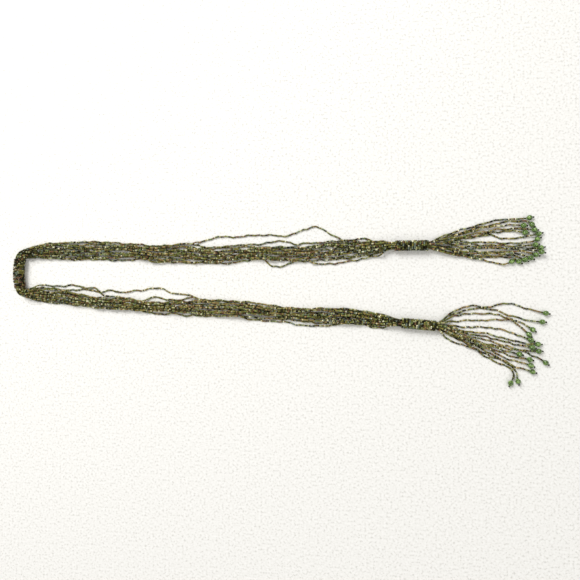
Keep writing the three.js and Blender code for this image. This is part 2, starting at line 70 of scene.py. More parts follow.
# The belt is measured in millimetres from beside the middle of its sleeve: x towards the tassels,
# y across and z up from the surface.
sleeveLow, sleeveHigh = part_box("centre_sleeve")
beltOrigin = np.array([
    sleeveLow.x - (sleeve["x"] - wraps["halfWidth"]) * mm,
    (sleeveLow.y + sleeveHigh.y) / 2,
    0.0,
])

# ---- camera, floor and light
view = {
    "position": (547.0, -28.5, 673.0),  # in belt millimetres
    "lookAt": (474.0, -28.5, 0.0),
    "lens": 26.0,
    "sensor": 36.0,
}
cameraData = bpy.data.cameras.new("viewFromAbove")
cameraData.lens = view["lens"]
cameraData.sensor_width = view["sensor"]
cameraData.clip_start = 0.01
camera = bpy.data.objects.new("viewFromAbove", cameraData)
camera.location = Vector(beltOrigin + np.array(view["position"]) * mm)
sight = (Vector(view["lookAt"]) - Vector(view["position"])).normalized()
rightwards = sight.cross(Vector((0, 1, 0))).normalized()
camera.rotation_euler = Matrix((rightwards, rightwards.cross(sight), -sight)).transposed().to_euler()
bpy.context.scene.collection.objects.link(camera)
bpy.context.scene.camera = camera

studio = {  # places and sizes in metres
    "key": {"at": (-1.5, 1.9, 2.5), "size": 1.6, "watts": 100.0},
    "fill": {"at": (1.8, -1.2, 3.0), "size": 3.2, "watts": 32.0},
    "sky": {"hex": "#f7f5f1", "strength": 0.45},
    "floor": {"size": 24.0, "speck": 3.4, "grain": 0.5},  # its speck and grain in millimetres
}
aimAt = Vector((0.0, 0.0, 0.0))


def linear(hexColour):
    # sRGB hex to linear light: c/12.92 below 0.04045, else ((c + 0.055) / 1.055) to the 2.4
    c = np.array([int(hexColour[i : i + 2], 16) for i in (1, 3, 5)]) / 255
    c = np.where(c <= 0.04045, c / 12.92, ((c + 0.055) / 1.055) ** 2.4)
    return (*c.tolist(), 1.0)


def addNode(tree, kind, settings=None, links=None):
    # one node: settings go to the sockets or properties of those names, links join outputs to its sockets
    node = tree.nodes.new(kind)
    for key, value in (settings or {}).items():
        if key in node.inputs:
            node.inputs[key].default_value = value
        else:
            setattr(node, key, value)
    for key, output in (links or {}).items():
        tree.links.new(output, node.inputs[key])
    return node


def newMaterial(name):
    # a material with an empty tree and its output
    material = bpy.data.materials.new(name)
    material.use_nodes = True
    tree = material.node_tree
    tree.nodes.clear()
    return material, tree


def finishMaterial(tree, shader):
    addNode(tree, "ShaderNodeOutputMaterial", links={"Surface": shader.outputs[0]})


def setRamp(node, stops, mode="LINEAR"):
    # stops are (place, colour)
    ramp = node.color_ramp
    ramp.interpolation = mode
    for i, (place, colour) in enumerate(stops):
        stop = ramp.elements[i] if i < 2 else ramp.elements.new(place)
        stop.position = place
        stop.color = colour
    return node


for name in ("key", "fill"):
    spec = studio[name]
    light = bpy.data.lights.new(name + "Light", "AREA")
    light.size = spec["size"]
    light.energy = spec["watts"]
    lamp = bpy.data.objects.new(name + "Light", light)
    lamp.location = spec["at"]
    lamp.rotation_euler = (aimAt - Vector(spec["at"])).to_track_quat("-Z", "Y").to_euler()
    bpy.context.scene.collection.objects.link(lamp)

sky = bpy.data.worlds.new("studioSky")
sky.use_nodes = True
skyBackground = sky.node_tree.nodes["Background"]
skyBackground.inputs["Color"].default_value = linear(studio["sky"]["hex"])
skyBackground.inputs["Strength"].default_value = studio["sky"]["strength"]
bpy.context.scene.world = sky
bpy.context.scene.view_settings.view_transform = "Standard"  # a white board stays white


def boardMaterial():
    # Painted board: matt off-white, with fine grey specks in it
    material, tree = newMaterial("paintedBoard")
    place = addNode(tree, "ShaderNodeTexCoord").outputs["Object"]
    speckScale = 1 / (studio["floor"]["speck"] * mm)
    specks = addNode(tree, "ShaderNodeTexNoise", {"Scale": speckScale, "Detail": 2.0}, {"Vector": place})
    tone = setRamp(
        addNode(tree, "ShaderNodeValToRGB", links={"Fac": specks.outputs["Fac"]}),
        [(0.3, linear("#dad9d4")), (0.44, linear("#f1f0ec")), (0.7, linear("#faf9f6"))],
    )
    grainScale = 1 / (studio["floor"]["grain"] * mm)
    grain = addNode(tree, "ShaderNodeTexNoise", {"Scale": grainScale, "Detail": 3.0}, {"Vector": place})
    bump = addNode(
        tree,
        "ShaderNodeBump",
        {"Strength": 0.15, "Distance": 0.1 * mm},
        {"Height": grain.outputs["Fac"]},
    )
    shader = addNode(
        tree,
        "ShaderNodeBsdfPrincipled",
        {"Roughness": 0.85, "IOR": 1.45},
        {"Base Color": tone.outputs["Color"], "Normal": bump.outputs["Normal"]},
    )
    finishMaterial(tree, shader)
    return material


edge = studio["floor"]["size"] / 2
corners = [(-edge, -edge, 0), (edge, -edge, 0), (edge, edge, 0), (-edge, edge, 0)]
floorMesh = bpy.data.meshes.new("floor")
floorMesh.from_pydata(corners, [], [(0, 1, 2, 3)])
floorMesh.materials.append(boardMaterial())
floor = bpy.data.objects.new("floor", floorMesh)
bpy.context.scene.collection.objects.link(floor)
print("camera, light and floor are set")


# ---- curves
def ease(t):
    # a smooth step from 0 to 1: 3t^2 - 2t^3
    u = np.clip(t, 0, 1)
    return u * u * (3 - 2 * u)


def curveAt(xs, ys, x):
    # the value at x of a smooth curve through (xs, ys), level past its ends: a cubic on each stretch,
    # whose slope at a point is that of the line through its two neighbours
    xs, ys = np.asarray(xs, float), np.asarray(ys, float)
    before = np.maximum(np.arange(len(xs)) - 1, 0)
    after = np.minimum(np.arange(len(xs)) + 1, len(xs) - 1)
    slope = (ys[after] - ys[before]) / (xs[after] - xs[before])
    at = np.clip(x, xs[0], xs[-1])
    i = np.clip(np.searchsorted(xs, at, "right") - 1, 0, len(xs) - 2)
    width = xs[i + 1] - xs[i]
    t = (at - xs[i]) / width
    rise = ys[i] + (ys[i + 1] - ys[i]) * ease(t)
    return rise + width * t * (1 - t) * (slope[i] * (1 - t) - slope[i + 1] * t)


def unit(vectors):
    # the same directions, each of length 1
    return vectors / np.linalg.norm(vectors, axis=-1, keepdims=True)


def headingVector(degrees):
    # the way on in plan at an angle from x
    turn = math.radians(degrees)
    return np.array([math.cos(turn), math.sin(turn)])


def pathThrough(points, leave, arrive, distances):
    # points of a smooth path through the given ones at distances along its chords: a cubic on each
    # chord, with the end headings given in degrees, and straight on before the start
    points = np.asarray(points, float)
    chords = np.linalg.norm(np.diff(points, axis=0), axis=1)
    marks = np.concatenate([[0], np.cumsum(chords)])
    inner = (points[2:] - points[:-2]) / (marks[2:] - marks[:-2])[:, None]
    tangents = np.vstack([headingVector(leave), inner, headingVector(arrive)])
    at = np.clip(distances, 0, marks[-1])
    i = np.clip(np.searchsorted(marks, at, "left") - 1, 0, len(chords) - 1)
    t = ((at - marks[i]) / chords[i])[:, None]
    point = points[i] + (points[i + 1] - points[i]) * ease(t)
    bend = tangents[i] * (1 - t) - tangents[i + 1] * t
    point = point + bend * t * (1 - t) * chords[i][:, None]
    return point + np.minimum(distances, 0)[:, None] * tangents[0]


# ---- where the strands lie
strands = {
    "count": 15,  # in each half and in each tassel
    "radius": 1.38,  # of a strand of beads
    "pitch": 2.76,  # two strands nearer than this in plan lie one over the other
    "columnPitch": 2.9,  # between strands side by side where they are gathered, four over one another
    "rowOfPlace": [1, 0, 2, 3],  # the strands fall in turn to one of four rows, 0 the lowest
    "lanePlace": [0, 1, 0.5, 1.5],  # and to the lanes of a spread half, an upper strand between two
    "lastLane": 7,  # across the half from lane 0
    "step": 1.5,  # along a strand
    "soften": 4,  # steps over which a strand rises on to another
}
gatherLength = 24  # over which a half spreads out from a mouth
liftLength = 26  # over which it comes down to the surface
mouthLift = 1.9  # of the lowest strands in a mouth, over the surface
intoMouth = 7  # the strands go this far into a sleeve or collar

upperCollar = {"x": 638, "y": 40.5, "length": 53, "heading": 0}
lowerCollar = {"x": 648, "y": -79.5, "length": 54, "heading": -4.6}

# The halves. rows: x, middle line y, half width. loose: a strand and the points it passes away from
# the others. slits: x, y, length and opening of a gap between strands.
upperHalf = {
    "side": 1,
    "collar": upperCollar,
    "rows": [
        (19, 34.5, 10.5), (32, 36.5, 11), (50, 38.5, 13.5), (94, 38.5, 15), (150, 37.8, 15.5),
        (180, 36.3, 15), (220, 34.8, 13.5), (250, 31.5, 14.5), (307, 32.5, 16.5), (343, 29.5, 14.5),
        (370, 29.5, 15), (408, 32.5, 13.5), (440, 31.5, 13.5), (490, 31, 15), (538, 34.7, 16),
        (570, 36.8, 15), (586, 37.5, 13.2), (612, 38.7, 11), (638, 40.5, 9),
    ],
    "loose": [
        (0, [(95, 51), (113, 53), (160, 52.5), (190, 49.5), (205, 48)]),
        (2, [(300, 47), (312, 48.3), (330, 51.5), (344, 56.2), (356, 58.8), (383, 58.2), (410, 60.2),
             (426, 60.8), (446, 60.2), (460, 58.6), (475, 60.4), (489, 65.4), (504, 70.8), (516, 73.2),
             (528, 67.2), (544, 58.2), (553, 54.8), (565, 49)]),
        (0, [(418, 45), (431, 46.9), (439, 49.2), (460, 50.3), (475, 48), (488, 45)]),
        (13, [(418, 24), (433, 20), (444, 11), (459, 9), (474, 15), (490, 20)]),
        (14, [(498, 19), (511, 15.4), (523, 13), (539, 13.4), (555, 15), (578, 18.7), (602, 23.4),
              (617, 26.4), (633, 31)]),
        (12, [(498, 24), (520, 23.2), (539, 22.9), (570, 25), (586, 28.4), (612, 32), (630, 35)]),
        (0, [(570, 49), (586, 52.5), (597, 53.3), (608, 49)]),
    ],
    "slits": [
        (77, 44.3, 22, 3), (100, 26.3, 26, 3), (184, 36.5, 60, 4), (172, 29, 36, 3), (198, 24.7, 36, 3),
        (248, 20.8, 26, 3), (296, 41, 34, 3), (312, 19.2, 36, 3), (331, 44.6, 48, 3.5),
        (360, 38.4, 30, 3), (405, 39.5, 34, 3), (500, 40.5, 44, 3), (537, 38.8, 40, 3.5),
        (572, 48.3, 26, 3),
    ],
}
lowerHalf = {
    "side": -1,
    "collar": lowerCollar,
    "rows": [
        (19, -35, 9), (32, -34.8, 11.5), (55, -37.4, 13.2), (75, -38.4, 13.5), (94, -40.5, 13),
        (115, -44, 11.6), (130, -46.6, 11), (153, -48.4, 11), (205, -51.8, 11.6), (240, -54.8, 11.2),
        (283, -56.4, 11.2), (322, -57.4, 13.8), (343, -57.8, 14.4), (376, -59.2, 13.4),
        (410, -61.4, 13), (442, -64.6, 12), (475, -66.8, 11.2), (508, -69, 11.8), (545, -69.4, 13),
        (586, -72.2, 11.8), (609, -75, 11), (625, -76.6, 10), (648, -79.5, 8.5),
    ],
    "loose": [
        (14, [(27, -22), (44, -19.3), (65, -21.8), (82, -21.8), (97, -20.2), (112, -22), (123, -24.2),
              (142, -26), (154, -32.5), (164, -37.5)]),
        (13, [(86, -30), (96, -28.4), (110, -28.1), (123, -27), (138, -30.2), (147, -31.8),
              (156, -30.8), (169, -29.3), (187, -32.4), (205, -30.5), (224, -29), (240, -25.8),
              (261, -26.8), (274, -32.4), (285, -35.6), (293, -35.2), (309, -37.5), (321, -42),
              (334, -46)]),
        (12, [(226, -42), (240, -40.1), (261, -42.6), (283, -45.8), (297, -43.3), (312, -41),
              (322, -42), (336, -47)]),
        (0, [(224, -63), (240, -66.8), (255, -69.2), (274, -67.7), (284, -67.8), (293, -70.3),
             (305, -71.4), (322, -70.4)]),
        (1, [(385, -70), (401, -74), (410, -77), (442, -78.8), (459, -80), (475, -81.4), (489, -84.6),
             (502, -86.2), (531, -85.3), (545, -85.3), (562, -83)]),
        (0, [(588, -84), (601, -87.3), (622, -87.6), (634, -86)]),
    ],
    "slits": [
        (70, -30, 36, 2.2), (104, -46, 36, 2), (196, -45, 44, 2), (330, -62, 50, 2.2),
        (392, -54, 40, 2), (520, -63, 50, 2.4), (560, -76, 40, 2),
    ],
}
laneWander = [(0.8, 1.9, 214, 1.9), (0.45, 0.8, 97, 2.7)]  # height, height of a top strand, length, lag
wanderEase = 90  # from each end, over which the wander grows
slitEdge = 0.5  # from the middle of a slit, within which a strand may lie to either side
slitFade = 6  # across, over which its push fades
joinLength = 16  # over which a loose strand leaves the others and comes back
kinks = [(0.5, 37.0), (0.5, 21.0), (0.26, 11.0)]  # height and length of the small bends in a strand
kinkStretch = (0.8, 1.25)  # between these, a bend's length differs from strand to strand

# The tassels. Each strand passes its points and arrives at the middle of its end bead at an angle
# in degrees. A bead with a level lies on others.
upperTassel = {
    "collar": upperCollar,
    "strands": [
        {"via": [(712, 55), (760, 70), (790, 77.5), (804, 80), (815.5, 78.8), (825, 79.4)],
         "bead": (839.3, 81), "arrive": 8},
        {"via": [(722, 55), (770, 68), (806, 75.5), (824, 76.4), (833, 76.2)],
         "bead": (842.5, 70.7), "arrive": -40},
        {"via": [(724, 53), (775, 66.5), (806, 70.6)], "bead": (830.6, 69.4), "arrive": -4},
        {"via": [(738, 53), (790, 63.5), (818, 64.9), (833, 64.1)], "bead": (846.1, 62.7), "arrive": -6},
        {"via": [(730, 49), (775, 58), (812, 61.6)], "bead": (832.8, 58.6), "arrive": -8},
        {"via": [(745, 50.6), (780, 55.5), (800, 50.8), (818, 50.4), (829, 50.8), (838, 54)],
         "bead": (852.5, 56.4), "arrive": 14},
        {"via": [(740, 45.5), (790, 44), (820, 42.6), (837, 44)], "bead": (850.4, 48.1), "arrive": 25},
        {"via": [(740, 42), (800, 39.5)], "bead": (847.5, 39.8), "arrive": 6},
        {"via": [(745, 38.5), (795, 34.5), (828, 34.8)], "bead": (855.5, 35.3), "arrive": 10},
        {"via": [(745, 35), (790, 37), (818, 33.4)], "bead": (854.3, 28.6), "arrive": -14, "level": 4.4},
        {"via": [(742, 32), (790, 29.5), (820, 30.3)], "bead": (848.3, 24.8), "arrive": -20},
        {"via": [(735, 30), (780, 27), (800, 27.2), (818, 27.5)], "bead": (840.8, 20), "arrive": -24},
        {"via": [(738, 27.5), (785, 23.5), (812, 24.9)], "bead": (832.5, 17.1), "arrive": -24},
        {"via": [(735, 26), (775, 21.5), (806, 22.2), (815, 20.9)], "bead": (823.8, 14.7), "arrive": -36},
        {"via": [(732, 25), (761, 20), (783, 14.5), (800, 10.8)], "bead": (813.4, 14.8), "arrive": 24},
    ],
}
lowerTassel = {
    "collar": lowerCollar,
    "strands": [
        {"via": [(724, -64), (758, -51.5), (769, -55.5), (798, -50.5), (815, -49.5), (836, -57)],
         "bead": (862.5, -63.5), "arrive": -12},
        {"via": [(720, -69), (739, -62), (768, -56.5), (793, -60.5), (820, -70)],
         "bead": (857.3, -76.7), "arrive": -4},
        {"via": [(731, -68), (783, -65), (817, -74)], "bead": (843.6, -88.5), "arrive": -36},
        {"via": [(739, -76), (790, -74.5), (812, -74), (823, -82)], "bead": (838.4, -95.8), "arrive": -44},
        {"via": [(753, -86), (776, -85.5), (806, -91)], "bead": (841, -104.2), "arrive": -22},
        {"via": [(745, -91.5), (780, -96), (815, -105.5), (836, -109.9)],
         "bead": (851.3, -110.4), "arrive": -4},
        {"via": [(742, -94), (780, -101), (812, -109.5)], "bead": (843, -115.6), "arrive": -12},
        {"via": [(742, -97), (780, -106), (815, -116.5), (831, -119.8)],
         "bead": (852.5, -121), "arrive": 0},
        {"via": [(738, -98), (770, -109.5), (800, -119.5)], "bead": (824.6, -126.1), "arrive": -14},
        {"via": [(738, -99), (780, -111.5), (815, -118.8), (826, -120), (836, -124)],
         "bead": (862.2, -138.2), "arrive": -38},
        {"via": [(738, -100.5), (780, -116), (812, -129), (828, -132)],
         "bead": (839.2, -133.8), "arrive": -14},
        {"via": [(738, -102), (780, -119.5), (812, -135)], "bead": (841.2, -143), "arrive": -22},
        {"via": [(738, -104), (780, -124), (815, -143)], "bead": (843.6, -152.3), "arrive": -18},
        {"via": [(736, -105), (775, -126), (803, -138), (819, -150)],
         "bead": (822.6, -167.3), "arrive": -75},
        {"via": [(718, -103), (733, -111), (753, -116.2), (788, -137.5), (811, -147), (816, -157)],
         "bead": (811.9, -170.2), "arrive": -113},
    ],
}
fan = 2.3  # degrees of spread from each strand to the next
tasselPoints = 112  # along each strand, so that a shorter one has shorter steps
bendsFromCollar, bendsToBead = 30, 16  # over which the small bends grow and die down
riseLength = 15  # over which a tassel strand rises from the surface to its bead's hole
endBead = {
    "halfLength": 4.6,
    "facet": 3.75,  # from its middle to the facets that it lies on
    "gap": 0.3,  # between it and the end of its strand
    "tipSeed": 1.0,  # from its tip to the middle of its closing seed
}

places = np.arange(strands["count"])
rowCount = len(strands["rowOfPlace"])
columns = strands["columnPitch"] * ((places[-1] // rowCount) / 2 - places // rowCount)
rowsOfStrands = np.array(strands["rowOfPlace"])[places % rowCount]
settleOrder = np.lexsort((places, rowsOfStrands))


def softened(heights, reach):
    # the running mean of a running maximum, so that a strand starts to rise before it meets another
    padded = np.pad(heights, 2 * reach, mode="edge")
    highest = np.lib.stride_tricks.sliding_window_view(padded, 2 * reach + 1).max(axis=1)
    kernel = np.hanning(2 * reach + 3)[1:-1]
    return np.convolve(highest, kernel / kernel.sum(), mode="valid")


def settle(lines, least):
    # lines are count x n x 2 points in plan, least the heights that they must have. Low row first, each
    # strand comes to rest on those laid before it: where its middle is nearer than the pitch to another's
    # line, it lies on that round strand, at the other's height + sqrt(pitch^2 - distance^2)
    heights = least.copy()
    along = unit(np.gradient(lines, axis=1))
    for turn, k in enumerate(settleOrder):
        needed = least[k].copy()
        for i in settleOrder[:turn]:
            toOthers = lines[k][:, None, :] - lines[i][None, :, :]
            nearest = np.argmin((toOthers**2).sum(axis=2), axis=1)
            offset = toOthers[np.arange(len(nearest)), nearest]
            way = along[i][nearest]
            apart = np.abs(offset[:, 0] * way[:, 1] - offset[:, 1] * way[:, 0])
            ahead = np.abs((offset * way).sum(axis=1))
            near = (apart < strands["pitch"]) & (ahead < strands["step"])
            up = np.sqrt(np.maximum(strands["pitch"] ** 2 - apart**2, 0))
            needed = np.where(near, np.maximum(needed, heights[i][nearest] + up), needed)
        heights[k] = softened(needed, strands["soften"])
    return np.dstack([lines, heights])


def smallBends(x, count):
    # for each of count strands a sum of sine waves along x, each with its own seeded phase and length
    total = np.zeros((count, len(x)))
    for height, length in kinks:
        phase = draw.uniform(0, 2 * np.pi, (count, 1))
        stretch = draw.uniform(*kinkStretch, (count, 1))
        total += height * np.sin(2 * np.pi * x[None, :] / (length * stretch) + phase)
    return total


def laneAt(halfBelt, i, x):
    # y of strand i at x: its lane across the half's width, its wander, the slits that push it aside
    # and the stretches where it runs loose
    xs, middles, halves = np.array(halfBelt["rows"], float).T
    side = halfBelt["side"]
    spread = curveAt(xs, halves, x) - strands["radius"]
    rank = 2 * (i // rowCount) + strands["lanePlace"][i % rowCount]
    isTop = rowsOfStrands[i] > 1
    lane = spread * (1 - 2 * rank / strands["lastLane"])
    loosened = ease(x / wanderEase) * ease((halfBelt["collar"]["x"] - x) / wanderEase)
    for height, topHeight, length, lag in laneWander:
        wave = np.sin(2 * np.pi * x / length + lag * i + side)
        lane = lane + loosened * (topHeight if isTop else height) * wave
    y = curveAt(xs, middles, x) + side * lane
    for slitX, slitY, length, opening in halfBelt["slits"]:
        reach = np.maximum(0, 1 - (2 * (x - slitX) / length) ** 2) ** 2
        away = y - slitY
        y = y + opening / 2 * reach * np.tanh(away / slitEdge) * np.exp(-np.abs(away) / slitFade)
    for strand, points in halfBelt["loose"]:
        if strand == i:
            looseX, looseY = np.array(points, float).T
            share = ease((x - looseX[0]) / joinLength) * ease((looseX[-1] - x) / joinLength)
            y = y + share * (curveAt(looseX, looseY, x) - y)
    return y


def sleeveLine(distance):
    # the middle line of the sleeve, an arc: the points at distances from its middle, and the way on
    radius = sleeve["halfLength"] / math.radians(sleeve["bow"])
    turn = np.asarray(distance) / radius
    point = np.stack([sleeve["x"] + radius * (1 - np.cos(turn)), radius * np.sin(turn)], axis=-1)
    return point, np.stack([np.sin(turn), np.cos(turn)], axis=-1)


def collarLine(collar):
    # the middle line of a collar, straight on from its mouth
    along = headingVector(collar["heading"])
    mouth = np.array([collar["x"], collar["y"]])

    def at(distance):
        onward = np.asarray(distance)[..., None]
        return mouth + onward * along, along + 0 * onward

    return at


def halfLines(halfBelt):
    # the strands of a half from the sleeve, round the bend and along to the collar: a point on the
    # middle line, moved out across it by the strand's place
    side, collar = halfBelt["side"], halfBelt["collar"]
    radius, bow = sleeve["bendRadius"], math.radians(sleeve["bow"])
    mouth, along = sleeveLine(sleeve["halfLength"])
    endX = mouth[0] + radius * math.cos(bow)  # where the bend ends
    endY = mouth[1] + radius * (1 - math.sin(bow))
    bendLength = (math.pi / 2 - bow) * radius
    total = collar["x"] - endX + bendLength
    s = np.arange(-intoMouth, total + intoMouth, strands["step"])
    x = endX + s - bendLength
    turn = np.clip(bow + s / radius, bow, math.pi / 2)
    before, after = np.minimum(s, 0), np.maximum(s - bendLength, 0)
    slope = math.tan(math.radians(collar["heading"]))
    near = ease(s / gatherLength)
    kinked = smallBends(s, strands["count"]) * near * ease((total - s) / gatherLength)
    lift = np.maximum(1 - ease(s / liftLength), 1 - ease((total - s) / liftLength))
    lines = []
    for i in places:
        lane = side * laneAt(halfBelt, i, np.maximum(x, 0)) - endY
        across = columns[i] * (1 - near) + lane * near + kinked[i]
        px = endX - radius * np.cos(turn) + before * along[0] + after - across * np.cos(turn)
        py = endY - radius * (1 - np.sin(turn)) + before * along[1] + across * np.sin(turn)
        mouthY = collar["y"] + slope * (px - collar["x"]) + side * columns[i]
        toCollar = ease((collar["x"] - px) / gatherLength)
        lines.append(np.stack([px, mouthY * (1 - toCollar) + side * py * toCollar], axis=1))
    least = np.tile(strands["radius"] + mouthLift * lift, (strands["count"], 1))
    return settle(np.array(lines), least)


def tasselLines(tassel):
    # the strands of a tassel from inside the collar to the holes of the end beads
    collar = tassel["collar"]
    point, along = collarLine(collar)(collar["length"])
    across = np.array([-along[1], along[0]])
    reach = endBead["halfLength"] + endBead["gap"]
    lines, least = [], []
    for i, spec in enumerate(tassel["strands"]):
        start = point + across * columns[i]
        tip = np.array(spec["bead"]) - headingVector(spec["arrive"]) * reach
        points = [start, *spec["via"], tip]
        length = np.linalg.norm(np.diff(points, axis=0), axis=1).sum()
        distances = np.linspace(-intoMouth, length, tasselPoints)
        leave = collar["heading"] + fan * (places[-1] / 2 - i)
        line = pathThrough(points, leave, spec["arrive"], distances)
        inside = distances < 0
        line[inside] = start + along * distances[inside, None]
        left = length - distances
        kinked = smallBends(distances, 1)[0] * ease(distances / bendsFromCollar) * ease(left / bendsToBead)
        way = unit(np.gradient(line, axis=0))
        line = line + kinked[:, None] * np.stack([-way[:, 1], way[:, 0]], axis=1)
        lift = mouthLift * (1 - ease(distances / liftLength))
        hole = endBead["facet"] + spec.get("level", 0) - strands["radius"]
        rise = hole * (1 - ease(left / riseLength))
        lines.append(line)
        least.append(strands["radius"] + np.maximum(lift, rise))
    return settle(np.array(lines), np.array(least))


# ---- seed beads
seed = {
    "length": 1.94,  # along its hole
    "pitch": 2.04,  # along a strand, a little more than the length
    "play": 0.02,  # along the thread
    "sizeSpread": 0.06,  # share by which seeds differ
    "widthLimits": (-0.14, 0.14),  # of those shares
    "lengthLimits": (-0.12, 0.06),
    "clear": 1.08,  # radii from the surface to the middle of the lowest seeds, so that none is sunk in it
    "depth": (0.85, 1.4),  # between these, the lightness of a colour differs from seed to seed
    "tilt": 0.1,  # radians that a seed sits askew on its thread
    "sides": 8,
    "outline": [(-1.0, 0.6), (-0.5, 1.0), (0.5, 1.0), (1.0, 0.6)],  # shares of half length and radius
    "threadRadius": 0.3,
    "threadStep": 8.0,  # between the points of a thread
}

# Glass colours of the strung mix: hex and roughness
glassMix = {
    "nearBlack": ("#17150d", 0.28),
    "darkMoss": ("#3f4121", 0.28),
    "moss": ("#646532", 0.28),
    "olive": ("#7e783f", 0.3),
    "leaf": ("#70804a", 0.28),
    "sage": ("#9fa176", 0.3),
    # the pale cream seeds are partly a real pale glass and partly a painted highlight: their bright colour
    # also stands in for the glints of light on the glass
    "paleMintAndGlint": ("#d5d3b2", 0.32),
    "tealGrey": ("#6f7b6e", 0.28),
    "brown": ("#6e523c", 0.3),
    "bronze": ("#84704a", 0.32),
    "gold": ("#9f8a58", 0.3),
    "straw": ("#bbad80", 0.32),
}
glassNames = list(glassMix)

# Shares of each colour in a stretch of the belt
mixes = {
    "green": {"nearBlack": 12, "darkMoss": 14, "moss": 18, "olive": 19, "leaf": 10, "sage": 11, "paleMintAndGlint": 4,
              "tealGrey": 5, "brown": 4, "bronze": 2, "gold": 1, "straw": 1},
    "brown": {"nearBlack": 11, "darkMoss": 10, "moss": 10, "olive": 18, "leaf": 5, "sage": 8, "paleMintAndGlint": 3,
              "tealGrey": 3, "brown": 19, "bronze": 10, "gold": 3, "straw": 2},
    "gold": {"nearBlack": 13, "darkMoss": 6, "moss": 5, "olive": 18, "leaf": 3, "sage": 9, "paleMintAndGlint": 3,
             "tealGrey": 2, "brown": 9, "bronze": 16, "gold": 12, "straw": 5},
    "grey": {"nearBlack": 21, "darkMoss": 17, "moss": 10, "olive": 5, "leaf": 3, "sage": 17, "paleMintAndGlint": 3,
             "tealGrey": 19, "brown": 5, "bronze": 0, "gold": 0, "straw": 0},
    "dark": {"nearBlack": 31, "darkMoss": 25, "moss": 11, "olive": 6, "leaf": 3, "sage": 8, "paleMintAndGlint": 1,
             "tealGrey": 10, "brown": 5, "bronze": 0, "gold": 0, "straw": 0},
    "bark": {"nearBlack": 26, "darkMoss": 12, "moss": 5, "olive": 8, "leaf": 1, "sage": 2, "paleMintAndGlint": 0,
             "tealGrey": 1, "brown": 36, "bronze": 8, "gold": 1, "straw": 0},
}


def chosen(mixNames):
    # a glass colour for each seed, by the shares of the mix that the seed belongs to
    kinds = np.zeros(len(mixNames), int)
    roll = draw.uniform(0, 1, len(mixNames))
    for name, shares in mixes.items():
        weights = np.cumsum([shares[glass] for glass in glassNames]) / sum(shares.values())
        kinds = np.where(mixNames == name, np.searchsorted(weights, roll), kinds)
    return kinds


def seedGrid(centres, ways, radii, lengths):
    # each seed is its outline turned round its own thread line, askew by a little and rolled by any
    # angle: point = centre + way * along + (side cos + up sin) * out
    count = len(centres)
    ways = unit(ways + draw.normal(0, seed["tilt"], (count, 3)))
    sides = unit(np.cross(ways, [0.0, 0.0, 1.0]) + 1e-9)
    ups = np.cross(sides, ways)
    outline = np.array(seed["outline"])
    roll = draw.uniform(0, 2 * np.pi, (count, 1))
    turn = roll + 2 * np.pi * np.arange(seed["sides"]) / seed["sides"]
    ring = sides[:, None, :] * np.cos(turn)[:, :, None] + ups[:, None, :] * np.sin(turn)[:, :, None]
    along = ways[:, None, :] * (lengths[:, None] / 2 * outline[:, 0])[:, :, None]
    out = radii[:, None] * outline[:, 1]
    grid = centres[:, None, None, :] + along[:, :, None, :] + ring[:, None, :, :] * out[:, :, None, None]
    return grid.reshape(-1, 3)


def bandFaces(n, rings):
    # four-sided faces between rings of n points each, from ring to ring
    k = np.arange(n)
    nextK = (k + 1) % n
    starts = n * np.arange(rings - 1)[:, None]
    return np.stack([starts + k, starts + nextK, starts + n + nextK, starts + n + k], axis=2).reshape(-1, 4)


def seedFaces(count):
    # the bands between the rings of the outline, and a fan of four-sided faces to close each flat end
    n, rings = seed["sides"], len(seed["outline"])
    top = (rings - 1) * n
    fanned = np.arange(1, n - 1, 2)[:, None] + np.arange(3)
    near = np.hstack([np.zeros((len(fanned), 1), int), fanned[:, ::-1]])
    far = np.hstack([np.full((len(fanned), 1), top), top + fanned])
    one = np.vstack([bandFaces(n, rings), near, far])
    return (one[None, :, :] + (np.arange(count) * n * rings)[:, None, None]).reshape(-1, 4)


def tubeGrid(points, radius):
    # a four-sided tube along points: centre + (side cos + up sin) * radius
    ways = unit(np.gradient(points, axis=0))
    sides = unit(np.cross(ways, [0.0, 0.0, 1.0]) + 1e-9)
    ups = np.cross(sides, ways)
    turn = np.pi / 2 * np.arange(4)
    ring = sides[:, None, :] * np.cos(turn)[None, :, None] + ups[:, None, :] * np.sin(turn)[None, :, None]
    return (points[:, None, :] + radius * ring).reshape(-1, 3)


def tubeFaces(count):
    # the bands of a tube of count rings, and its two ends
    last = 4 * (count - 1)
    return np.vstack([bandFaces(4, count), [[3, 2, 1, 0]], [[last, last + 1, last + 2, last + 3]]])


def addPiece(name, points, faces, materials, nodes, faceMaterials=None, attributes=None):
    # a mesh of four-sided faces from arrays: points in belt millimetres, moved to the belt's place
    mesh = bpy.data.meshes.new(name)
    mesh.vertices.add(len(points))
    mesh.vertices.foreach_set("co", (np.asarray(points) * mm + beltOrigin).astype(np.float32).ravel())
    mesh.loops.add(faces.size)
    mesh.loops.foreach_set("vertex_index", faces.astype(np.int32).ravel())
    mesh.polygons.add(len(faces))
    mesh.polygons.foreach_set("loop_start", np.arange(0, faces.size, 4, dtype=np.int32))
    mesh.polygons.foreach_set("use_smooth", np.ones(len(faces), bool))
    for material in materials:
        mesh.materials.append(material)
    if faceMaterials is not None:
        mesh.polygons.foreach_set("material_index", faceMaterials.astype(np.int32))
    for key, values in (attributes or {}).items():
        mesh.attributes.new(key, "FLOAT", "POINT").data.foreach_set("value", values.astype(np.float32))
    mesh.update(calc_edges=True)
    mesh.validate()
    piece = bpy.data.objects.new(name, mesh)
    bpy.context.scene.collection.objects.link(piece)
    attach(piece, "root")
    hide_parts(*nodes)


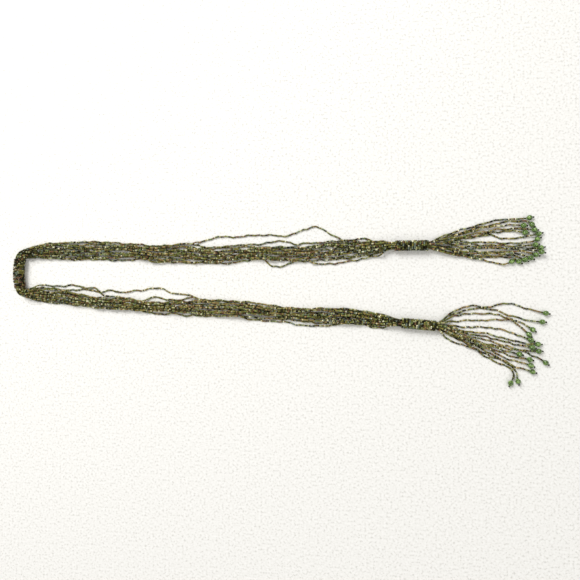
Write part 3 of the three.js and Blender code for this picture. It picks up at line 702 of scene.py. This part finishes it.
def seedMaterial():
    # Glass seed beads from a strung mix: pressed smooth and fire polished, so each has a small bright
    # glint, a colour of its own and a slightly different depth of colour
    material, tree = newMaterial("glassSeedBeads")
    kind = addNode(tree, "ShaderNodeAttribute", {"attribute_name": "glassKind"}).outputs["Fac"]
    depth = addNode(tree, "ShaderNodeAttribute", {"attribute_name": "glassDepth"}).outputs["Fac"]
    share = 1 / len(glassNames)
    colours = [(i * share, linear(glassMix[name][0])) for i, name in enumerate(glassNames)]
    polish = [(i * share, (glassMix[name][1],) * 3 + (1.0,)) for i, name in enumerate(glassNames)]
    colour = setRamp(addNode(tree, "ShaderNodeValToRGB", links={"Fac": kind}), colours, "CONSTANT")
    roughness = setRamp(addNode(tree, "ShaderNodeValToRGB", links={"Fac": kind}), polish, "CONSTANT")
    varied = addNode(
        tree,
        "ShaderNodeHueSaturation",
        links={"Color": colour.outputs["Color"], "Value": depth},
    )
    shader = addNode(
        tree,
        "ShaderNodeBsdfPrincipled",
        {"IOR": 1.52, "Specular IOR Level": 0.3, "Specular Tint": linear("#e8dcae")},
        {
            "Base Color": varied.outputs["Color"],
            "Roughness": roughness.outputs["Color"],
        },
    )
    finishMaterial(tree, shader)
    return material


def threadMaterial():
    # Waxed nylon thread: dark olive, dull, with the faint twist of its plies
    material, tree = newMaterial("waxedNylonThread")
    place = addNode(tree, "ShaderNodeTexCoord").outputs["Object"]
    plies = addNode(tree, "ShaderNodeTexNoise", {"Scale": 1 / (0.4 * mm), "Detail": 1.0}, {"Vector": place})
    tone = setRamp(
        addNode(tree, "ShaderNodeValToRGB", links={"Fac": plies.outputs["Fac"]}),
        [(0.35, linear("#2a2a1c")), (0.65, linear("#45442f"))],
    )
    shader = addNode(
        tree,
        "ShaderNodeBsdfPrincipled",
        {"Roughness": 0.6},
        {"Base Color": tone.outputs["Color"]},
    )
    finishMaterial(tree, shader)
    return material


seedGlass = seedMaterial()
nylonThread = threadMaterial()


def beadRun(line):
    # seeds strung along a line of points, at even distances with a little play: their centres, ways and
    # distances
    marks = np.concatenate([[0], np.cumsum(np.linalg.norm(np.diff(line, axis=0), axis=1))])
    count = int(marks[-1] / seed["pitch"])
    at = (np.arange(count) + 0.5) * marks[-1] / count + draw.normal(0, seed["play"], count)
    centres = np.stack([np.interp(at, marks, line[:, axis]) for axis in range(3)], axis=1)
    ways = unit(np.gradient(line, axis=0))
    ways = np.stack([np.interp(at, marks, ways[:, axis]) for axis in range(3)], axis=1)
    return centres, ways, at


def seedPiece(name, runs, nodes):
    # one mesh of all the seeds and threads of some runs, each with its centres, ways, kinds and radius
    centres = np.vstack([run["centres"] for run in runs])
    ways = np.vstack([run["ways"] for run in runs])
    kinds = np.concatenate([run["kinds"] for run in runs])
    count = len(centres)
    size = 1 + draw.normal(0, seed["sizeSpread"], count).clip(*seed["widthLimits"])
    radii = size * np.concatenate([np.full(len(run["centres"]), run["radius"]) for run in runs])
    lengths = seed["length"] * (1 + draw.normal(0, seed["sizeSpread"], count).clip(*seed["lengthLimits"]))
    centres[:, 2] = np.maximum(centres[:, 2], seed["clear"] * radii)
    points, faces = [seedGrid(centres, ways, radii, lengths)], [seedFaces(count)]
    perSeed = seed["sides"] * len(seed["outline"])
    kindShare = np.repeat((kinds + 0.5) / len(glassNames), perSeed)
    depth = np.repeat(draw.uniform(*seed["depth"], count), perSeed)
    seedFaceCount = len(faces[0])
    start = len(points[0])
    for run in runs:
        if "thread" in run:
            points.append(tubeGrid(run["thread"], seed["threadRadius"]))
            faces.append(tubeFaces(len(run["thread"])) + start)
            start += len(points[-1])
    faces = np.vstack(faces)
    materialOf = (np.arange(len(faces)) >= seedFaceCount).astype(int)
    extra = np.zeros(start - len(kindShare))
    attributes = {
        "glassKind": np.concatenate([kindShare, extra]),
        "glassDepth": np.concatenate([depth, extra]),
    }
    addPiece(name, np.vstack(points), faces, [seedGlass, nylonThread], nodes, materialOf, attributes)
    print(f"{name}: {count} seeds, {2 * len(faces)} triangles")


def threadThrough(line):
    # a few of a line's points, for the thread
    marks = np.linspace(0, len(line) - 1, max(int(len(line) * strands["step"] / seed["threadStep"]), 3))
    return np.stack([np.interp(marks, np.arange(len(line)), line[:, axis]) for axis in range(3)], axis=1)


# ---- the halves
# Along a strand the mix changes in uneven runs, and each has one of the mixes listed for its stretch
mixRun = {
    "length": 26,
    "uneven": (0.4, 1.6),  # between these, the shares of the length that runs have
    "most": 60,
    "picks": 12,  # a multiple of the numbers of mixes in the lists
}
halfStretches = [
    {"until": 60, "mixes": ["dark", "brown", "green"]},
    {"until": 200, "mixes": ["green", "grey", "brown", "green"]},
    {"until": 420, "mixes": ["green", "brown", "green", "gold"]},
    {"until": 560, "mixes": ["brown", "green", "gold", "grey"]},
    {"until": 720, "mixes": ["brown", "green", "dark"]},
]


def stretchMixes(s, stretches):
    # the name of the mix at each distance along a strand
    edges = np.cumsum(draw.uniform(*mixRun["uneven"], mixRun["most"]) * mixRun["length"])
    run = np.searchsorted(edges, s)
    pick = draw.integers(0, mixRun["picks"], len(edges) + 1)[run]
    names = np.empty(len(s), dtype=object)
    last = -np.inf
    for stretch in stretches:
        within = (s >= last) & (s < stretch["until"])
        options = np.array(stretch["mixes"], dtype=object)
        names[within] = options[pick[within] % len(options)]
        last = stretch["until"]
    return names


def buildHalf(name, halfBelt):
    lines = halfLines(halfBelt)
    for row, rowName in enumerate(("low", "second", "third", "top")):
        runs = []
        for i in places[rowsOfStrands == row]:
            centres, ways, at = beadRun(lines[i])
            kinds = chosen(stretchMixes(at, halfStretches))
            runs.append({"centres": centres, "ways": ways, "kinds": kinds, "radius": strands["radius"],
                         "thread": threadThrough(lines[i])})
        seedPiece(f"{name}_strands_{rowName}_row", runs, [name + "_strands"])


buildHalf("upper", upperHalf)
buildHalf("lower", lowerHalf)
print("the two halves are strung")

# ---- the tassels
tasselStretches = [
    {"until": 45, "mixes": ["brown", "green", "dark", "green"]},
    {"until": 85, "mixes": ["green", "grey", "brown", "gold"]},
    {"until": 125, "mixes": ["gold", "brown", "green", "gold"]},
    {"until": 260, "mixes": ["gold", "brown", "grey", "green"]},
]


def beadPlace(spec):
    # the middle of a tassel strand's end bead, and the way along its hole
    middle = np.array([*spec["bead"], endBead["facet"] + spec.get("level", 0)])
    return middle, np.append(headingVector(spec["arrive"]), 0.0)


def buildTassel(name, tassel):
    lines = tasselLines(tassel)
    runs = []
    for i, spec in enumerate(tassel["strands"]):
        centres, ways, at = beadRun(lines[i])
        kinds = chosen(stretchMixes(at, tasselStretches))
        kinds[-1] = glassNames.index("darkMoss")
        middle, way = beadPlace(spec)
        tip = middle + way * (endBead["halfLength"] + endBead["tipSeed"])
        centres = np.vstack([centres, tip])
        ways = np.vstack([ways, way])
        kinds = np.append(kinds, glassNames.index("nearBlack"))
        runs.append({"centres": centres, "ways": ways, "kinds": kinds, "radius": strands["radius"],
                     "thread": np.vstack([threadThrough(lines[i]), middle, tip])})
    seedPiece(name + "_tassel_strands", runs, [name + "_tassel"])


buildTassel("upper", upperTassel)
buildTassel("lower", lowerTassel)
print("the two tassels are strung")


# ---- the wraps
aheadStep = 0.2  # round the section, to find the way there


def wrapSection(share):
    # places and ways at shares of the distance round the oblong section, and its length: half width * cos
    # and half height * sin, each to the power 2/roundness, level underneath
    inset = wraps["radius"]
    turn = np.linspace(0, 2 * np.pi, wraps["sectionPoints"])
    c, s = np.cos(turn), np.sin(turn)
    power = 2 / wraps["roundness"]
    out = (wraps["halfWidth"] - inset) * np.sign(c) * np.abs(c) ** power
    rise = wraps["height"] / 2 - inset + wraps["crown"]
    up = wraps["height"] / 2 + rise * np.sign(s) * np.abs(s) ** power
    up = np.maximum(up, inset)
    marks = np.concatenate([[0], np.cumsum(np.hypot(np.diff(out), np.diff(up)))])
    at = np.asarray(share) * marks[-1]
    ahead = (at + aheadStep) % marks[-1]
    place = np.stack([np.interp(at, marks, out), np.interp(at, marks, up)], axis=-1)
    onward = np.stack([np.interp(ahead, marks, out), np.interp(ahead, marks, up)], axis=-1)
    return place, unit(onward - place), marks[-1]


def bandMixes(share, bands):
    # the name of the mix at each share of the way along a wrap, with ragged edges between the bands
    names = np.empty(len(share), dtype=object)
    at = share + draw.normal(0, wraps["raggedEdge"], len(share))
    last = -np.inf
    for until, mix in bands:
        names[(at >= last) & (at < until)] = mix
        last = until
    return names


def buildWrap(name, line, start, length):
    # seeds wound round the strands: in round r, at the share u of the way round, a seed sits at
    # r + slant * u pitches along the wrap's line, on the section, with a slow wobble of its round
    perimeter = wrapSection(0)[2]
    perRound = int(perimeter / wraps["beadRound"])
    rounds = int((length - 2 * wraps["radius"]) / wraps["roundPitch"])
    pitch = (length - 2 * wraps["radius"]) / rounds
    r, k = np.meshgrid(np.arange(rounds), np.arange(perRound), indexing="ij")
    shift = draw.uniform(0, 1, (rounds, 1))
    u = ((k + shift) / perRound) % 1
    place, way, _ = wrapSection(u)
    phase = draw.uniform(0, wraps["wobblePhase"], (rounds, 1))
    wobble = wraps["wobble"] * np.sin(2 * np.pi * u + phase)
    play = draw.normal(0, wraps["play"], u.shape)
    distance = wraps["radius"] + (r + u * wraps["slant"]) * pitch + wobble + play
    distance = np.clip(distance, wraps["radius"], length - wraps["radius"])
    swell = 1 + (wraps["uneven"] * draw.normal(0, 1, (rounds, 1))) / wraps["halfWidth"]
    out = place[..., 0] * np.minimum(swell, wraps["swellLimit"])
    point, along = line(start + distance)
    across = np.stack([along[..., 1], -along[..., 0]], axis=-1)
    plan = point + across * out[..., None]
    centres = np.dstack([plan, np.maximum(place[..., 1], wraps["radius"])]).reshape(-1, 3)
    ways = np.dstack([across * way[..., :1], way[..., 1]]).reshape(-1, 3)
    kinds = chosen(bandMixes(distance.ravel() / length, wrapBands[name]))
    kinds = np.where(draw.uniform(0, 1, len(kinds)) < wraps["sameColour"], np.roll(kinds, 1), kinds)
    run = {"centres": centres, "ways": ways, "kinds": kinds, "radius": wraps["radius"]}
    seedPiece(name + "_beads", [run], [name])


# Bands of colours along the wraps: until a share of the length, the mix
wrapBands = {
    # on the sleeve, the narrow gold band between 0.55 and 0.64 of its length is a painted highlight: gold
    # seeds stand in for a golden glint of light across it
    "centre_sleeve": [(0.42, "bark"), (0.55, "dark"), (0.64, "gold"), (2, "dark")],
    "upper_collar": [(0.12, "bark"), (0.34, "dark"), (0.82, "grey"), (2, "dark")],
    "lower_collar": [(0.62, "grey"), (0.84, "brown"), (2, "dark")],
}
buildWrap("centre_sleeve", sleeveLine, -sleeve["halfLength"], 2 * sleeve["halfLength"])
for name, collar in (("upper_collar", upperCollar), ("lower_collar", lowerCollar)):
    buildWrap(name, collarLine(collar), 0, collar["length"])
print("the sleeve and the collars are wound")

# ---- the glass end beads
glassBead = {
    "around": 32,
    "lengthwise": 18,
    "facets": 8,  # in each of three rings
    "slope": 40,  # degrees of the two outer rings
    "sharp": 26,  # power that rounds the edges between facets
    "outerFacet": 3.9,  # distance of an outer ring's facets from the middle
}


def facetNormals():
    # normals of the facets and their distances from the middle, with z along the hole
    step = 2 * np.pi / glassBead["facets"]
    tilt = math.radians(glassBead["slope"])
    k = np.arange(glassBead["facets"])
    belt = np.stack([np.cos(k * step), np.sin(k * step), 0 * k], axis=1)
    between = (k + 0.5) * step
    level, rise = math.cos(tilt), math.sin(tilt)
    upper = np.stack([np.cos(between) * level, np.sin(between) * level, 0 * k + rise], axis=1)
    lower = upper * [1, 1, -1]
    poles = np.array([[0, 0, 1.0], [0, 0, -1.0]])
    distances = np.repeat(
        [endBead["facet"], glassBead["outerFacet"], glassBead["outerFacet"], endBead["halfLength"]],
        [len(k), len(k), len(k), 2],
    )
    return np.vstack([belt, upper, lower, poles]), distances


def glassBeadGrid():
    # a softened polyhedron: in each direction the distance out is the sum over the facets of
    # (direction . normal / distance) to a high power, to the power -1 over it
    normals, distances = facetNormals()
    tall = np.linspace(0, np.pi, glassBead["lengthwise"] + 1)[1:-1]
    turn = 2 * np.pi * np.arange(glassBead["around"]) / glassBead["around"]
    directions = np.stack([
        np.sin(tall)[:, None] * np.cos(turn),
        np.sin(tall)[:, None] * np.sin(turn),
        np.cos(tall)[:, None] + 0 * turn,
    ], axis=-1).reshape(-1, 3)
    directions = np.vstack([directions, [[0, 0, 1.0], [0, 0, -1.0]]])
    facing = np.maximum(directions @ normals.T, 0) / distances
    reach = (facing ** glassBead["sharp"]).sum(axis=1) ** (-1 / glassBead["sharp"])
    return directions * reach[:, None]


def glassBeadFaces():
    # the bands between the rings, turned over because the rings run against the way of the hole, and
    # four-sided faces that span two steps at each pole
    n, rings = glassBead["around"], glassBead["lengthwise"] - 1
    bands = np.roll(bandFaces(n, rings)[:, ::-1], 1, axis=1)
    k = np.arange(0, n, 2)
    far, near = np.full(len(k), n * rings), np.full(len(k), n * rings + 1)
    base = n * (rings - 1)
    farCap = np.stack([far, k, k + 1, (k + 2) % n], axis=1)
    nearCap = np.stack([near, base + (k + 2) % n, base + k + 1, base + k], axis=1)
    return np.vstack([bands, farCap, nearCap])


def greenGlassMaterial():
    # Pressed leaf-green glass: cloudy and marbled inside, so light glows in its middle and its
    # edges look dark, with a wet polish on the facets
    material, tree = newMaterial("pressedGreenGlass")
    place = addNode(tree, "ShaderNodeTexCoord").outputs["Object"]
    cloud = addNode(
        tree,
        "ShaderNodeTexNoise",
        {"Scale": 1 / (3.2 * mm), "Detail": 3.0, "Distortion": 0.6},
        {"Vector": place},
    )
    tone = setRamp(
        addNode(tree, "ShaderNodeValToRGB", links={"Fac": cloud.outputs["Fac"]}),
        [(0.3, linear("#34431f")), (0.5, linear("#5b7a36")), (0.68, linear("#9aba68"))],
    )
    shader = addNode(
        tree,
        "ShaderNodeBsdfPrincipled",
        {
            "Roughness": 0.08,
            "IOR": 1.52,
            "Transmission Weight": 0.1,
            "Coat Weight": 0.3,
            "Coat Roughness": 0.03,
        },
        {"Base Color": tone.outputs["Color"]},
    )
    finishMaterial(tree, shader)
    return material


greenGlass = greenGlassMaterial()
beadPoints, beadFaces = glassBeadGrid(), glassBeadFaces()
for side, tassel in (("upper", upperTassel), ("lower", lowerTassel)):
    for i, spec in enumerate(tassel["strands"]):
        middle, way = beadPlace(spec)
        across = np.array([-way[1], way[0], 0.0])
        up = np.array([0.0, 0.0, 1.0])
        # across, up and along the hole make a right-handed set
        points = middle + beadPoints @ np.stack([across, up, way])
        node = f"{side}_end_bead_{i + 1:02d}"
        addPiece(node + "_glass", points, beadFaces, [greenGlass], [node])
print("the end beads are on")
